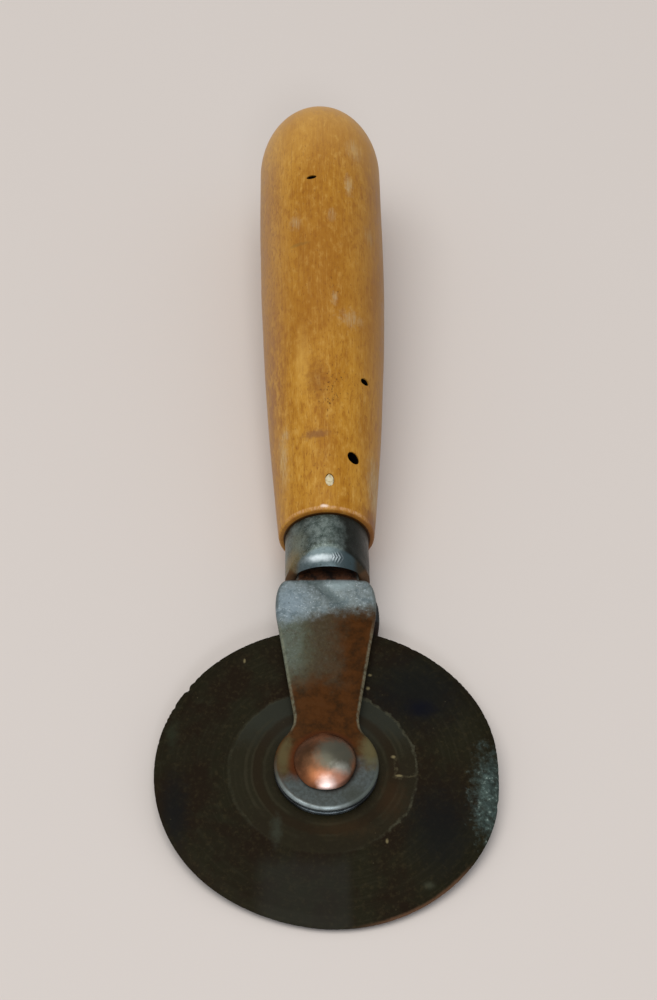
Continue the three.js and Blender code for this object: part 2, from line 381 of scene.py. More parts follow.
class Finish:
    """One material, its places in the cutter's axes in millimetres, its tone built up in layers."""

    def __init__(self, name):
        self.material = bpy.data.materials.new(name)
        self.material.use_nodes = True
        self.tree = self.material.node_tree
        self.surface = self.tree.nodes["Principled BSDF"]
        source = self.node("TexCoord")
        into_tool = {
            "Location": TO_TOOL.to_translation(), "Rotation": TURN.inverted().to_euler(),
            "Scale": (1 / MM,) * 3,
        }
        mapping = self.node("Mapping", Vector=source.outputs["Object"], **into_tool)
        self.place = mapping.outputs["Vector"]
        self.x, self.y, self.z = self.node("SeparateXYZ", Vector=self.place).outputs
        facing = self.vector("DOT_PRODUCT", source.outputs["Normal"], tuple(NORMAL), "Value")
        self.tilt = self.math("SUBTRACT", 1.0, self.math("ABSOLUTE", facing))
        self.tone = None

    def feed(self, socket, value):
        if isinstance(value, bpy.types.NodeSocket):
            self.tree.links.new(value, socket)
        else:
            socket.default_value = value

    def fill(self, node, inputs):
        """Feeds a node's inputs by name, with underscores for spaces."""
        for key, value in inputs.items():
            self.feed(node.inputs[key.replace("_", " ")], value)

    def node(self, kind, settings=None, **inputs):
        made = self.tree.nodes.new("ShaderNode" + kind)
        for key, value in (settings or {}).items():
            setattr(made, key, value)
        self.fill(made, inputs)
        return made

    def math(self, operation, a, b=0.0):
        made = self.node("Math", {"operation": operation})
        self.feed(made.inputs[0], a)
        self.feed(made.inputs[1], b)
        return made.outputs[0]

    def vector(self, operation, a, b, output="Vector"):
        made = self.node("VectorMath", {"operation": operation})
        self.feed(made.inputs[0], a)
        self.feed(made.inputs[1], b)
        return made.outputs[output]

    def add(self, a, b):
        return self.math("ADD", a, b)

    def times(self, *factors):
        """The product of all the values, or what masks have in common."""
        product = factors[0]
        for factor in factors[1:]:
            product = self.math("MULTIPLY", product, factor)
        return product

    def plus(self, value, other, amount):
        """A value plus so much of another, such as a noise that lets an edge wander."""
        return self.add(value, self.times(other, amount))

    def either(self, *masks):
        """The strongest of several masks at each place."""
        strongest = masks[0]
        for mask in masks[1:]:
            strongest = self.math("MAXIMUM", strongest, mask)
        return strongest

    def band(self, value, start, end, low=0.0, high=1.0):
        """low where value is at start, high where it is at end, with a soft ramp between."""
        smooth_step = {"interpolation_type": "SMOOTHSTEP"}
        limits = {"From_Min": start, "From_Max": end, "To_Min": low, "To_Max": high}
        return self.node("MapRange", smooth_step, Value=value, **limits).outputs["Result"]

    def line(self, value, centre, half_width):
        """1 where value is at the centre, falling to 0 at half_width on both sides."""
        gap = self.math("ABSOLUTE", self.add(value, -centre))
        return self.band(gap, half_width, half_width * 0.3)

    def reach(self, centre, radii):
        """Distance from a centre, measured in an oval's own radii."""
        gap = self.vector("SUBTRACT", self.place, centre)
        return self.vector("LENGTH", self.vector("DIVIDE", gap, radii), (0, 0, 0), "Value")

    def from_hub(self, shift=0.0, length=1.0):
        """Distance from a line along z at x = shift, in ovals this many times as long as wide."""
        return self.reach((shift, 0, 0), (1, length, FAR))

    def from_grip_axis(self):
        """Distance from the middle line of the ferrule and the front of the handle."""
        return self.reach((GRIP_DRIFT, 0, 0), (1, FAR, 1))

    def clouds(self, scale, seed, detail=3, rough=0.6, warp=0.0):
        """Noise about the middle value 0.5, with one scale per millimetre or one along each axis."""
        scales = scale if isinstance(scale, tuple) else (scale,) * 3
        scaled = self.vector("MULTIPLY", self.place, scales)
        kind = {"Scale": 1.0, "Detail": detail, "Roughness": rough, "Distortion": warp, "W": seed}
        return self.node("TexNoise", {"noise_dimensions": "4D"}, Vector=scaled, **kind).outputs["Fac"]

    def spot(self, centre, radii, inner, ragged, seed):
        """1 in an oval patch's inner share, falling to 0 at its edge, which a noise makes ragged."""
        wander = self.add(self.clouds(0.9, seed, detail=4, rough=0.65), -0.5)
        return self.band(self.plus(self.reach(centre, radii), wander, ragged), 1.0, inner)

    def mix(self, share, first, second):
        """A share of the way from the first colour to the second, each a socket or screen values."""
        made = self.node("Mix", {"data_type": "RGBA"})
        self.feed(made.inputs["Factor"], share)
        for socket, colour in ((made.inputs[6], first), (made.inputs[7], second)):
            self.feed(socket, srgb(*colour) if isinstance(colour, tuple) else colour)
        return made.outputs[2]

    def paint(self, mask, colour, amount=1.0):
        """Lays a colour over the tone where the mask is strong."""
        self.tone = self.mix(self.times(mask, amount), self.tone, colour)

    def relief(self, height, depth_mm):
        bump = self.node("Bump", Height=height, Distance=depth_mm * MM)
        self.feed(self.surface.inputs["Normal"], bump.outputs["Normal"])

    def done(self, **inputs):
        """The material, with its tone and the rest of its surface's inputs."""
        self.fill(self.surface, {"Base Color": self.tone, **inputs})
        return self.material


# --- Finishes ---

def wood_finish():
    f = Finish("varnished_wood")
    figure = f.clouds((0.1, 0.035, 0.1), rough=0.5, warp=0.6, seed=1)
    mottle = f.clouds((0.8, 0.34, 0.8), detail=5, rough=0.62, seed=2)
    grain = f.clouds((3.2, 0.22, 3.2), detail=4, seed=3)
    fleck = f.clouds((2.6, 0.8, 2.6), rough=0.55, seed=4)
    f.tone = f.mix(f.band(figure, 0.38, 0.62), (166, 112, 26), (186, 134, 44))
    f.paint(f.band(mottle, 0.5, 0.7), (204, 158, 76), 0.6)
    f.paint(f.band(mottle, 0.5, 0.34), (144, 86, 16), 0.5)
    f.paint(f.band(grain, 0.52, 0.72), (214, 172, 94), 0.32)
    f.paint(f.band(grain, 0.47, 0.3), (134, 78, 16), 0.4)
    f.paint(f.band(fleck, 0.57, 0.7), (116, 64, 16), 0.5)
    pits = f.clouds((2.2, 1.2, 2.2), seed=5)
    worn_spot = f.spot((1.4, 84, 11.7), (6.5, 14, 6), 0, 1, 10)
    upper_spot = f.spot((2.2, 112.5, 13), (3, 9, 5), 0, 1, 22)
    pores = f.band(f.plus(pits, f.either(worn_spot, upper_spot), 0.12), 0.69, 0.75)
    f.paint(pores, (66, 34, 12), 0.7)
    f.paint(f.spot((-1.6, 86.6, 11.9), (3.4, 8.5, 4), 0, 2, 6), (124, 72, 22), 0.5)
    grubby = f.spot((-10.5, 92, 7), (3.5, 24, 8), 0.2, 1, 23)
    f.paint(f.times(grubby, f.band(mottle, 0.56, 0.42)), (128, 72, 34), 0.5)
    f.paint(f.spot((-2, 72.6, 10.9), (4.2, 1.6, 3), 0.2, 1.4, 7), (120, 76, 48), 0.65)
    f.paint(f.spot((-5.1, 125.7, 12.5), (3.4, 0.8, 3), 0.2, 0.8, 8), (126, 104, 48), 0.5)
    bare = f.either(
        f.spot((-8.6, 68.5, 6.4), (1.9, 10, 2.6), 0.1, 1.4, 11),
        f.spot((-8.1, 74.8, 7.8), (1.3, 2.4, 1.8), 0.1, 1.4, 12),
        f.spot((9.6, 65, 4.4), (2.4, 10, 3.6), 0.3, 1.2, 13),
        f.spot((7.8, 157.8, 11.5), (3.2, 5, 3.4), 0.1, 1.2, 14),
        f.spot((6, 145, 12.5), (1.4, 5, 3), 0.1, 1.6, 15),
        f.spot((-5.8, 132.7, 12.5), (1.8, 3.6, 3), 0, 1.5, 16),
        f.spot((2.1, 134.1, 13.6), (1.3, 3, 3), 0.2, 1, 17),
        f.spot((10.5, 131.8, 8.9), (1.8, 4, 3), 0.1, 1.4, 18),
        f.spot((2.4, 109.1, 13), (1.2, 2.6, 2), 0.1, 1.6, 19),
        f.spot((6, 104.2, 11.5), (5, 3.4, 4), 0, 2.2, 20),
    )
    streaks = f.band(grain, 0.36, 0.62, 0.25, 1)
    f.paint(f.times(bare, streaks), (192, 178, 144), 0.52)
    f.paint(f.times(f.band(f.y, 88, 104), f.band(f.y, 150, 128)), (150, 98, 34), 0.3)
    upright = f.clouds((0.9, 0.03, 0.9), detail=4, seed=25)
    f.paint(f.band(upright, 0.52, 0.68), (140, 86, 26), 0.3)
    reddish = f.times(f.band(f.x, -7, -12), f.band(fleck, 0.46, 0.62))
    f.paint(reddish, (122, 62, 24), 0.5)
    # Painted shade: the right side of the handle darker
    f.paint(f.band(f.x, 4, 14), (118, 80, 40), 0.4)
    f.paint(f.band(f.y, 142, 176), (208, 162, 90), 0.55)
    # Painted light: a pale sheen along the left edge and a lighter streak along the upper left
    f.paint(f.band(f.x, -6, -13), (196, 162, 112), 0.25)
    f.paint(f.spot((-4.6, 93, 11.5), (2.4, 13, 4), 0.1, 0.8, 9), (210, 164, 78), 0.45)
    front = HANDLE_FRONT
    # Painted shade: darker red-brown low on the right flank, beside the ferrule
    f.paint(f.spot((8.6, front + 1.5, 0), (4, 4.5, 9), 0.3, 0.6, 21), (96, 44, 20), 0.6)
    pale_rub = f.spot((9.9, front + 10, 2.5), (2.2, 9, 4), 0.3, 1.2, 26)
    f.paint(f.times(pale_rub, streaks), (182, 166, 136), 0.5)
    # Painted highlight: a pale broken line along the rounded front edge
    lit_front_edge = f.times(f.line(f.y, front + 0.6, 0.5), f.band(f.z, 3, 8))
    f.paint(f.times(lit_front_edge, f.band(fleck, 0.4, 0.6, 0.2, 1)), (222, 180, 140), 0.45)
    glint = f.spot((-0.3, front + 0.9, 9.4), (1.2, 0.55, 1.5), 0.2, 0.8, 24)
    f.paint(glint, (252, 232, 214), 0.85)
    front_face = f.band(f.y, front + 0.3, front + 0.1)
    f.paint(front_face, (128, 78, 34), 0.5)
    # Painted shade in the gap between the wood and the ferrule
    gap_shade = f.band(f.from_grip_axis(), FERRULE_RADIUS + 0.45, FERRULE_RADIUS + 0.25)
    f.paint(f.times(front_face, gap_shade), (44, 26, 14), 0.9)
    # Painted shade: black wherever a place lies inside a hole, deeper than the handle's surface
    short = f.times(f.math("MAXIMUM", f.math("SUBTRACT", front + BELLY_AT, f.y), 0), 1 / BELLY_AT)
    surface = f.add(f.times(short, short, FRONT_RADIUS - BELLY_RADIUS), BELLY_RADIUS)
    aside = f.math("SUBTRACT", f.x, f.band(f.y, DRIFT_START, DRIFT_END, GRIP_DRIFT, 0))
    depth = f.math("SUBTRACT", surface, f.math("SQRT", f.add(f.times(aside, aside), f.times(f.z, f.z))))
    on_barrel = f.times(f.band(f.y, 160, 155), f.band(f.y, front + 2, front + 3))
    f.paint(f.times(f.band(depth, 0.18, 0.36), on_barrel), (6, 5, 5))
    f.relief(f.times(f.plus(f.times(grain, 0.5), pores, -0.8), f.band(f.y, front + 2, front + 6)), 0.04)
    rough = f.plus(f.band(mottle, 0.3, 0.7, 0.34, 0.46), bare, 0.25)
    return f.done(Roughness=rough, Specular_IOR_Level=0.16)


def steel_tone(f, dull, bright, seed):
    """Mottled grey steel between two colours, and its mottle for the relief."""
    mottle = f.clouds(0.7, detail=8, rough=0.68, seed=seed)
    f.tone = f.mix(f.band(mottle, 0.36, 0.64), dull, bright)
    return mottle


def ferrule_finish():
    f = Finish("tarnished_ferrule")
    mottle = steel_tone(f, (70, 82, 78), (116, 128, 124), 11)
    grime = f.clouds(0.4, detail=6, rough=0.65, seed=12)
    f.paint(f.band(grime, 0.46, 0.64), (56, 62, 54), 0.7)
    f.paint(f.spot((-6.5, 45, 4), (4, 3.5, 6), 0.2, 0.8, 13), (136, 114, 62), 0.7)
    f.paint(f.spot((7, 43.2, 4), (2, 1.6, 4), 0.2, 0.8, 14), (120, 74, 40), 0.6)
    speckle = f.band(f.clouds(4.5, seed=18), 0.55, 0.68)
    f.paint(speckle, (168, 182, 180), 0.4)
    # Painted light: a paler patch on the left side
    f.paint(f.spot((-5.6, 48.5, 6), (3.4, 5, 4), 0.1, 0.8, 17), (140, 146, 128), 0.55)
    # Painted shade: the right side darkened almost to black, with a wandering edge
    shaded_right_side = f.band(f.plus(f.x, f.add(grime, -0.5), 5), 1.6, 4.2)
    f.paint(shaded_right_side, (18, 18, 12), 0.94)
    below_wall = f.band(f.from_grip_axis(), FERRULE_RADIUS - 0.02, FERRULE_RADIUS - 0.25)
    facet = f.times(below_wall, f.band(f.y, 47.5, 46.5))
    f.paint(f.times(facet, f.band(f.x, 4.8, 6.4)), (56, 48, 34), 0.8)
    f.paint(f.times(facet, f.band(f.x, -4.8, -6.4)), (116, 96, 62), 0.7)
    # Painted reflection: a bluish grey on the pressed facet, darker towards the right
    facet_reflection_tone = f.mix(f.band(f.x, 0, 4.5), (98, 114, 120), (66, 84, 90))
    f.paint(f.times(facet, f.band(f.math("ABSOLUTE", f.x), 6.4, 4.8)), facet_reflection_tone, 0.7)
    pits = f.clouds(2.2, seed=15)
    f.paint(f.band(pits, 0.54, 0.7), (50, 58, 52), 0.6)
    crust = f.times(f.band(f.y, 44.2, 43), f.band(f.math("ABSOLUTE", f.z), 4.4, 3.4))
    f.paint(crust, (86, 60, 36), 0.85)
    # Painted highlight: a bright streak just behind the lip, left of the middle
    lip_highlight = f.spot((-1, 43.8, 7), (4.4, 1, 3), 0.1, 1, 16)
    f.paint(lip_highlight, (216, 228, 234), 0.6)
    # Small upright ripples, slightly bowed, at the highlight streak's right end, each with a painted
    # highlight on one flank and painted shade on the other
    ripple_y = 43.9
    ripple_rate = 11.0
    bow = f.math("ABSOLUTE", f.add(f.y, -ripple_y))
    wave = f.math("SINE", f.times(f.plus(f.plus(f.x, bow, 0.6), mottle, 0.5), ripple_rate))
    rippled = f.spot((2.1, ripple_y, 7), (1.5, 1.3, 3), 0.3, 0.3, 19)
    f.paint(f.times(rippled, f.band(wave, 0, 0.8)), (206, 220, 226), 0.45)
    f.paint(f.times(rippled, f.band(wave, 0, -0.8)), (44, 56, 60), 0.45)
    f.relief(f.plus(mottle, f.times(rippled, wave), 0.6), 0.05)
    metal = f.band(shaded_right_side, 0, 1, 0.85, 0.3)
    rough = f.band(mottle, 0.3, 0.7, 0.3, 0.46)
    return f.done(Metallic=metal, Roughness=rough, Specular_IOR_Level=0.2)


def arm_finish(name, shade_darkening=0):
    f = Finish(name)
    mottle = f.clouds(1.3, detail=7, rough=0.62, seed=21)
    wander = f.add(f.clouds(0.3, detail=7, rough=0.68, seed=22), -0.5)
    f.tone = f.mix(f.band(mottle, 0.32, 0.68), (106, 117, 116), (134, 146, 149))
    # Painted light: the left ear paler and bluer
    f.paint(f.spot((-7, 36, ARM_TOP), (6, 7, 3), 0.1, 0.8, 24), (132, 152, 166), 0.5)
    patchy = f.clouds(0.55, detail=5, rough=0.65, seed=29)
    f.paint(f.band(patchy, 0.5, 0.62), (84, 100, 106), 0.5)
    scattered = f.clouds(1.5, detail=4, rough=0.65, seed=34)
    f.paint(f.band(scattered, 0.56, 0.66), (186, 200, 206), 0.4)
    # Painted highlight on the shoulder, right of the middle, near its back edge
    f.paint(f.spot((2.8, 40.6, ARM_TOP), (4.4, 2.2, 3), 0.1, 0.8, 30), (160, 180, 184), 0.55)
    glints = f.clouds(2.4, seed=26)
    f.paint(f.band(glints, 0.59, 0.68), (204, 216, 220), 0.45)
    # Painted shade along the diagonal crease on the shoulder
    crease = f.line(f.plus(f.plus(f.y, f.x, 0.92), wander, 6), 38.9, 2.2)
    f.paint(f.times(crease, f.band(f.x, 5.5, 2)), (76, 90, 90), 0.55)
    pits = f.clouds(2.4, seed=28)
    f.paint(f.times(f.band(pits, 0.6, 0.68), f.band(f.x, -1, -5)), (44, 50, 46), 0.55)
    # Olive stain on the neck, whose wandering edge slopes off to both sides
    leftward = f.times(f.math("MINIMUM", f.x, 0), -0.3)
    rightward = f.times(f.math("MAXIMUM", f.x, 0), -0.08)
    lower_edge = f.plus(f.add(f.y, f.add(leftward, rightward)), wander, 9)
    left_strip = f.times(f.band(f.plus(f.x, wander, 6), -3.5, -6.5), f.band(f.y, 16, 24, 0, 0.15))
    olive = f.times(f.band(lower_edge, 35.6, 32.2), f.math("SUBTRACT", 1, left_strip))
    olive_tone = f.mix(f.band(f.plus(f.x, wander, 8), -6.5, -1.5), (78, 84, 66), (62, 50, 28))
    f.paint(olive, olive_tone, 0.94)
    flakes = f.clouds((1.6, 1.1, 1.6), detail=6, rough=0.7, seed=31)
    f.paint(f.times(olive, f.band(flakes, 0.52, 0.66)), (96, 88, 62), 0.35)
    f.paint(f.times(olive, f.band(flakes, 0.48, 0.34)), (48, 36, 20), 0.45)
    from_right = f.times(f.band(f.plus(f.x, wander, 10), -1.5, 5), f.band(lower_edge, 34.5, 31))
    rust = f.either(from_right, f.band(f.plus(f.y, wander, 12), 23, 14.5))
    blotch = f.clouds(0.42, detail=7, rough=0.7, seed=23)
    f.paint(rust, f.mix(f.band(blotch, 0.3, 0.7), (42, 22, 0), (80, 43, 6)), 0.95)
    f.paint(f.times(f.band(blotch, 0.52, 0.66), olive), (60, 40, 20), 0.36)
    # The eye: worn steel in front, olive at both sides, rust and painted shade round the rivet's head
    eye = f.band(f.from_hub(), 10.2, 8.8)
    worn_eye = f.times(eye, f.band(f.plus(f.plus(f.y, f.x, -0.2), wander, 10), 1, -3.5))
    f.paint(worn_eye, f.mix(f.band(mottle, 0.35, 0.65), (66, 74, 72), (82, 92, 92)), 0.9)
    f.paint(f.times(eye, f.spot((4.5, -6.6, ARM_TOP), (3.8, 2.6, 3), 0.2, 1, 32)), (58, 62, 54), 0.6)
    f.paint(f.times(eye, f.spot((8, 3, ARM_TOP), (3.4, 6, 3), 0.2, 0.8, 25)), (92, 88, 60), 0.8)
    f.paint(f.times(eye, f.spot((-8.6, 2, ARM_TOP), (3, 7, 3), 0.2, 0.8, 33)), (88, 80, 52), 0.8)
    beside_head = f.band(f.from_hub(HEAD_SHIFT), 7.4, 5.8)
    upper_left = f.band(f.plus(f.y, f.x, -0.7), -1.5, 3.5)
    f.paint(f.times(beside_head, upper_left), (82, 38, 10), 0.85)
    # Painted shade round the rivet's head, strongest on its right
    gap_shade = f.band(f.from_hub(HEAD_SHIFT, HEAD_STRETCH), 6.6, 5.7)
    f.paint(f.times(gap_shade, f.band(f.x, -4, 2, 0.15, 1)), (34, 24, 16), 0.65)
    tang_tone = f.mix(f.band(blotch, 0.4, 0.6), (34, 20, 12), (96, 58, 34))
    f.paint(f.band(f.y, SHOULDER_BACK - 0.7, SHOULDER_BACK - 0.2), tang_tone, 0.95)
    # The rolled edges, rubbed brighter along the neck, a painted highlight on the eye's lower rim, and
    # painted shade on the side below them
    rounding = f.times(f.band(f.tilt, 0.01, 0.16), f.band(f.tilt, 0.97, 0.8))
    on_neck = f.times(f.band(f.y, 5, 9), f.band(f.y, 34, 26))
    f.paint(f.times(rounding, on_neck, f.band(mottle, 0.35, 0.6, 0.3, 1)), (136, 140, 118), 0.5)
    f.paint(f.times(rounding, f.band(f.y, 34, 36)), (96, 104, 100), 0.6)
    rim_highlight_noise = f.clouds(0.35, rough=0.5, seed=27)
    toward_left = f.band(f.plus(f.x, f.y, 0.4), 1.5, -3.5, 0.1, 1)
    patchily = f.band(rim_highlight_noise, 0.35, 0.6, 0.5, 1)
    # Painted highlight along the eye's lower rim, stronger towards the left and patchy
    eye_rim_highlight = f.times(rounding, f.band(f.y, -2, -8), toward_left, patchily)
    f.paint(f.times(rounding, f.band(f.y, 3, -4)), (84, 92, 86), 0.75)
    f.paint(eye_rim_highlight, (176, 190, 192), 0.85)
    # Painted shade on the sheet's sides, bluish grey at the eye's front
    side = f.band(f.tilt, 0.75, 0.95)
    f.paint(side, (40, 34, 26), 0.7)
    f.paint(f.times(side, f.band(f.y, 0, -5)), (60, 68, 72), 0.8)
    # Painted shade: the lower arm, which lies in shade, darkened nearly to black
    if shade_darkening:
        f.tone = f.mix(shade_darkening, f.tone, (22, 17, 18))
    f.relief(mottle, 0.05)
    dull = f.either(f.times(olive, 0.9), rust)
    metal = f.either(f.band(dull, 0, 1, 0.5, 0.02), f.times(eye_rim_highlight, 0.6))
    rough = f.math("SUBTRACT", f.band(mottle, 0.3, 0.7, 0.4, 0.55), f.times(eye_rim_highlight, 0.08))
    return f.done(Metallic=metal, Roughness=rough, Specular_IOR_Level=0.06)


def wheel_finish():
    f = Finish("patinated_wheel")
    top = WHEEL_HALF
    upper = f.band(f.z, -0.2, 0.2)
    patches = f.clouds(0.09, detail=5, warp=0.5, seed=31)
    mottle = f.clouds(0.45, detail=8, rough=0.7, seed=32)
    patchy = f.band(patches, 0.4, 0.6)
    f.tone = f.mix(patchy, (32, 22, 8), (34, 32, 16))
    f.paint(f.band(mottle, 0.5, 0.7), (52, 49, 34), 0.5)
    crumbs = f.clouds(1.2, detail=6, rough=0.7, seed=30)
    f.paint(f.band(crumbs, 0.5, 0.66), (66, 58, 36), 0.4)
    radius = f.from_hub()
    turning = f.node("TexNoise", {"noise_dimensions": "1D"}, W=f.times(radius, 1.6), Detail=3, Scale=1)
    f.paint(f.times(f.band(turning.outputs["Fac"], 0.5, 0.7), patchy), (58, 54, 40), 0.22)
    blue = f.either(
        f.spot((17, 17, top), (15, 13, 1), 0.1, 0.8, 33),
        f.spot((20, -12, top), (9, 14, 1), 0.1, 0.8, 34),
        f.spot((-28, -9, top), (4, 12, 1), 0.1, 0.8, 35),
    )
    f.paint(blue, (18, 20, 20), 0.8)
    f.paint(f.spot((17.6, 13.4, top), (4.4, 3, 1), 0.1, 0.8, 36), (10, 12, 24), 0.9)
    low_grey = f.times(
        f.band(f.plus(f.x, mottle, 2), -13.5, -9.5), f.band(f.x, 4.6, 2.4),
        f.band(f.plus(f.y, mottle, 5), -13.5, -18.5), upper,
    )
    f.paint(low_grey, (52, 53, 47), 0.45)
    # The ring stain round the hub, with arcs inside it
    stain_radius = 17.4
    unevenness = f.add(mottle, -0.5)
    steady = f.plus(f.from_hub(-0.5), unevenness, 0.8)
    ring = f.plus(f.from_hub(-1), unevenness, f.band(f.x, -4, 8, 1.4, 2.6))
    inside = f.times(f.band(ring, stain_radius, stain_radius - 0.4), upper)
    f.paint(inside, (46, 43, 28), 0.55)
    toward_top = f.band(f.plus(f.y, mottle, 8), 7, 15)
    f.paint(f.times(inside, toward_top), (56, 60, 52), 0.65)
    f.paint(f.times(inside, f.line(steady, 12.6, 1.4)), (42, 30, 14), 0.6)
    arcs = f.either(f.line(steady, 14.7, 0.45), f.line(steady, 13.6, 0.3), f.line(steady, 11.3, 0.4))
    f.paint(f.times(inside, arcs, patchy), (64, 60, 44), 0.4)
    chips = f.clouds(0.7, detail=4, rough=0.7, seed=47)
    outline = f.times(
        f.line(ring, stain_radius - 0.15, 0.4), f.band(f.plus(f.x, patches, 24), 4, 24, 0.3, 1),
        f.band(chips, 0.36, 0.6, 0.15, 1), upper, f.band(f.y, -15.5, -11, 0.2, 1),
    )
    f.paint(outline, (90, 90, 72), 0.55)
    # A broken step of the stain on the right, down and then across
    jagged = f.times(f.add(chips, -0.5), 3)
    down = f.times(f.line(f.add(f.x, jagged), 12.2, 0.4), f.band(f.y, 3.2, 2.2), f.band(f.y, -2, -1))
    across = f.line(f.add(f.y, jagged), -1.3, 0.4)
    across = f.times(across, f.band(f.x, 11.6, 12.6), f.band(f.x, 16.6, 15))
    f.paint(f.times(f.either(down, across), upper, f.band(mottle, 0.35, 0.55)), (96, 90, 66), 0.5)
    f.paint(f.spot((-9.5, -12.7, top), (1.6, 5, 1), 0, 1.4, 37), (70, 76, 64), 0.5)
    f.paint(f.spot((11.5, -6, top), (4, 7, 1), 0, 1.4, 50), (64, 44, 24), 0.5)
    f.paint(f.spot((2.5, -12, top), (8, 3.2, 1), 0, 1.4, 51), (68, 50, 28), 0.4)
    scale_patch = f.spot((30.2, -6.5, top), (5.4, 14.5, 1.5), 0.2, 1.7, 38)
    scaly = f.clouds(1.3, detail=5, rough=0.72, seed=39)
    f.paint(f.times(scale_patch, f.band(scaly, 0.36, 0.6, 0.45, 1)), (92, 112, 108), 0.9)
    f.paint(f.times(scale_patch, f.band(scaly, 0.56, 0.66)), (176, 194, 184), 0.75)
    # Painted highlight: a reddish light edge along the rim at the lower right
    rim = f.band(f.plus(radius, mottle, 0.8), 31.6, 32.2)
    f.paint(f.times(rim, f.band(f.x, 2, 12), f.band(f.y, -18, -23)), (120, 88, 66), 0.7)
    f.paint(f.spot((17.5, -23.5, top), (1.6, 1.2, 1), 0, 1.2, 52), (92, 96, 78), 0.35)
    f.paint(f.spot((-29, 8, top), (2, 5, 1), 0, 1.2, 48), (52, 60, 44), 0.5)
    dust = [
        f.spot((x, y, top), (half_x, half_y, 0.5), 0.2, 1.2, seed)
        for x, y, half_x, half_y, seed in (
            (8.1, 20.9, 0.5, 0.45, 41), (7.7, 17.9, 0.5, 0.6, 42), (-15.7, 24.1, 0.35, 0.7, 43),
            (12, 2.8, 0.55, 0.5, 44), (12.9, -1.2, 0.9, 0.3, 45), (10.3, -14.7, 0.4, 0.7, 46),
        )
    ]
    f.paint(f.either(*dust), (150, 138, 100), 0.75)
    sprinkle = f.band(f.clouds(1.5, detail=2, rough=0.4, seed=49), 0.735, 0.78)
    f.paint(sprinkle, (110, 102, 76), 0.45)
    darkened = 0.3
    f.tone = f.mix(darkened, f.tone, (5, 6, 7))
    f.relief(f.plus(mottle, f.times(scale_patch, scaly), 3), 0.06)
    shine = f.band(scale_patch, 0, 1, 0.2, 0.75)
    return f.done(Metallic=shine, Roughness=f.band(mottle, 0.3, 0.7, 0.42, 0.56), Specular_IOR_Level=0.06)


def copper_finish():
    f = Finish("worn_copper")
    mottle = f.clouds(0.5, detail=5, rough=0.55, seed=51)
    f.tone = f.mix(f.band(mottle, 0.34, 0.66), (108, 68, 42), (146, 94, 62))
    f.paint(f.spot((-3.8, 0.4, ARM_TOP + 1), (4.2, 6, 4), 0.2, 0.7, 53), (78, 54, 34), 0.92)
    worn_grey = f.spot((1.5, 0.4, RIVET_HIGH.z), (5.3, 5.4, 4.2), 0.45, 0.5, 52)
    f.paint(worn_grey, (92, 94, 82), 0.94)
    # Painted highlights: a silvery one right of the middle, a warm orange glow to the lower left, a
    # pinkish spread and a near-white core at the lower edge
    f.paint(f.spot((2.4, -2.4, RIVET_HIGH.z), (3, 2.1, 3), 0, 0.8, 56), (196, 198, 188), 0.7)
    f.paint(f.spot((-2.8, -4, ARM_TOP + 1), (3.6, 2.6, 3), 0.1, 0.8, 55), (164, 104, 66), 0.55)
    f.paint(f.spot((0.8, -4.4, ARM_TOP + 1), (4.4, 2.8, 3), 0.2, 0.6, 57), (206, 148, 124), 0.85)
    f.paint(f.spot((-0.4, -5.2, ARM_TOP + 1), (2.4, 2.2, 3), 0.1, 0.6, 54), (255, 232, 224), 0.9)
    # Painted shade along the head's edge, strongest on the right
    skirt = f.band(f.from_hub(HEAD_SHIFT), 5.2, 5.75)
    f.paint(f.times(skirt, f.band(f.x, -1, 4, 0.15, 1)), (44, 32, 24), 0.8)
    f.relief(mottle, 0.04)
    rough = f.plus(f.band(mottle, 0.3, 0.7, 0.32, 0.42), worn_grey, 0.1)
    return f.done(Metallic=0.85, Roughness=rough)


def hub_finish():
    f = Finish("hub_steel")
    mottle = steel_tone(f, (84, 94, 98), (140, 152, 158), 61)
    f.paint(f.band(mottle, 0.52, 0.66), (70, 48, 28), 0.5)
    # Painted shade: darkened everywhere but a narrow crescent at the front edge
    f.paint(f.band(f.y, -9.1, -7.6), (28, 26, 24), 0.85)
    f.relief(mottle, 0.03)
    return f.done(Metallic=0.8, Roughness=0.42)


def filler_finish():
    f = Finish("pale_filler")
    mottle = f.clouds(2, detail=4, rough=0.5, seed=71)
    f.tone = f.mix(f.band(mottle, 0.35, 0.65), (184, 168, 124), (216, 208, 176))
    f.relief(mottle, 0.08)
    return f.done(Roughness=0.8, Specular_IOR_Level=0.2)


# --- Pieces ---

def worn_radius(turn):
    """The wheel's radius at an angle, with its flats, its nicks and its ragged edge."""
    radius = WHEEL_RADIUS + RIM_OVER
    for at, width, depth in RIM_WEAR:
        radius -= depth * bell(math.degrees(turn), at, width)
    rim = Vector((math.cos(turn), math.sin(turn), 0)) * 9
    teeth = max(0.0, noise.noise(rim * 5) - 0.1) * 0.22 * (0.35 + 0.65 * smooth(math.sin(turn), -0.3, 0.4))
    return radius - teeth


